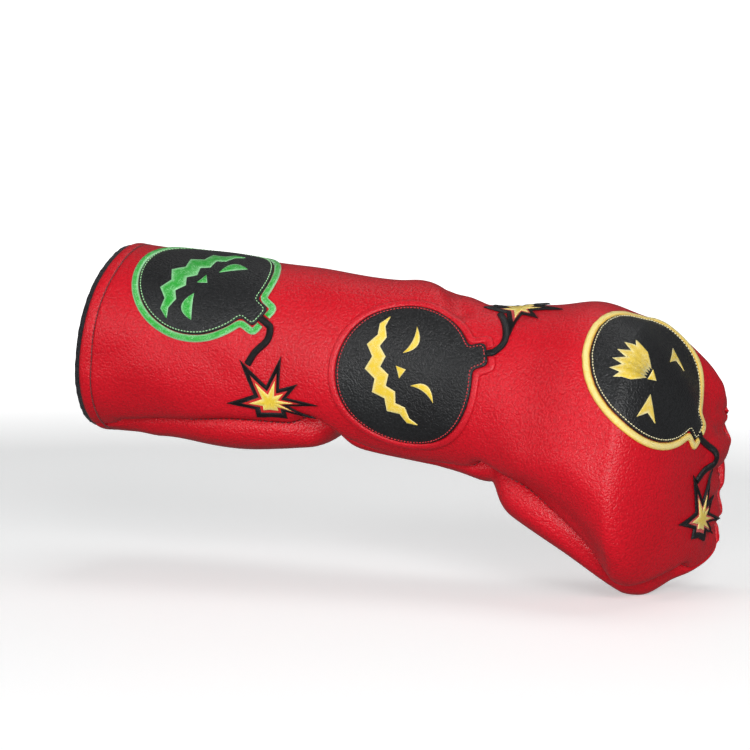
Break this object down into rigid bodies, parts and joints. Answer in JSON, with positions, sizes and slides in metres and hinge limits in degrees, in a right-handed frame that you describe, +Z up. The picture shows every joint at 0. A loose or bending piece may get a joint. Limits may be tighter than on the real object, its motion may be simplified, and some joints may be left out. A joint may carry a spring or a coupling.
{
  "type": "driver head cover",
  "caption": "Padded leather cover for a golf driver: tapered sleeve with an open mouth, gathered neck, padded head pocket, embroidered applique decoration.",
  "frame": {"origin": "centre of the mouth, where the shaft comes out", "axes": "+X along the cover from the mouth to the crown, +Z up with the cover lying on its side, -Y towards the decorated front"},
  "size_m": [0.3479, 0.1127, 0.1751],
  "materials": {
    "red_leather": "pebble-grained synthetic leather, semi-gloss",
    "black_leather": "pebble-grained synthetic leather, semi-gloss",
    "green_satin": "satin stitch embroidery",
    "gold_satin": "satin stitch embroidery",
    "cream_satin": "satin stitch embroidery",
    "red_piping": "raised folded edge",
    "red_thread": "twisted sewing thread",
    "black_satin": "satin stitch embroidery",
    "burst_red": "satin stitch embroidery",
    "burst_yellow": "satin stitch embroidery",
    "black_fleece": "short fleece pile",
    "foam": "open-cell foam",
    "elastic": "woven elastic"
  },
  "bodies": {
    "root": {"front_panel": "red_leather", "back_panel": "red_leather", "mouth_binding": "black_fleece", "sleeve_foam": "foam", "head_foam": "foam", "lining": "black_fleece", "elastic_band": "elastic", "hem_stitching": "red_thread", "bottom_seam_thread": "red_thread", "top_seam_thread": "red_thread", "crown_seam_thread": "red_thread", "green_patch": "black_leather", "green_border": "green_satin", "green_run_stitch": "green_satin", "green_mouth": "green_satin", "green_nose": "green_satin", "green_eye_left": "green_satin", "green_eye_right": "green_satin", "green_fuse": "black_satin", "green_burst_outline": "black_satin", "green_burst_fill": "burst_red", "green_burst_core": "burst_yellow", "red_patch": "black_leather", "red_border": "red_piping", "red_run_stitch": "red_thread", "red_mouth": "gold_satin", "red_nose": "gold_satin", "red_eye_left": "gold_satin", "red_eye_right": "gold_satin", "red_fuse": "black_satin", "red_burst_outline": "black_satin", "red_burst_fill": "burst_red", "red_burst_core": "burst_yellow", "gold_patch": "black_leather", "gold_border": "cream_satin", "gold_run_stitch": "cream_satin", "gold_mouth": "gold_satin", "gold_nose": "gold_satin", "gold_eye_left": "gold_satin", "gold_eye_right": "gold_satin", "gold_fuse": "black_satin", "gold_burst_outline": "black_satin", "gold_burst_fill": "burst_red", "gold_burst_core": "burst_yellow"}
  },
  "joints": []
}
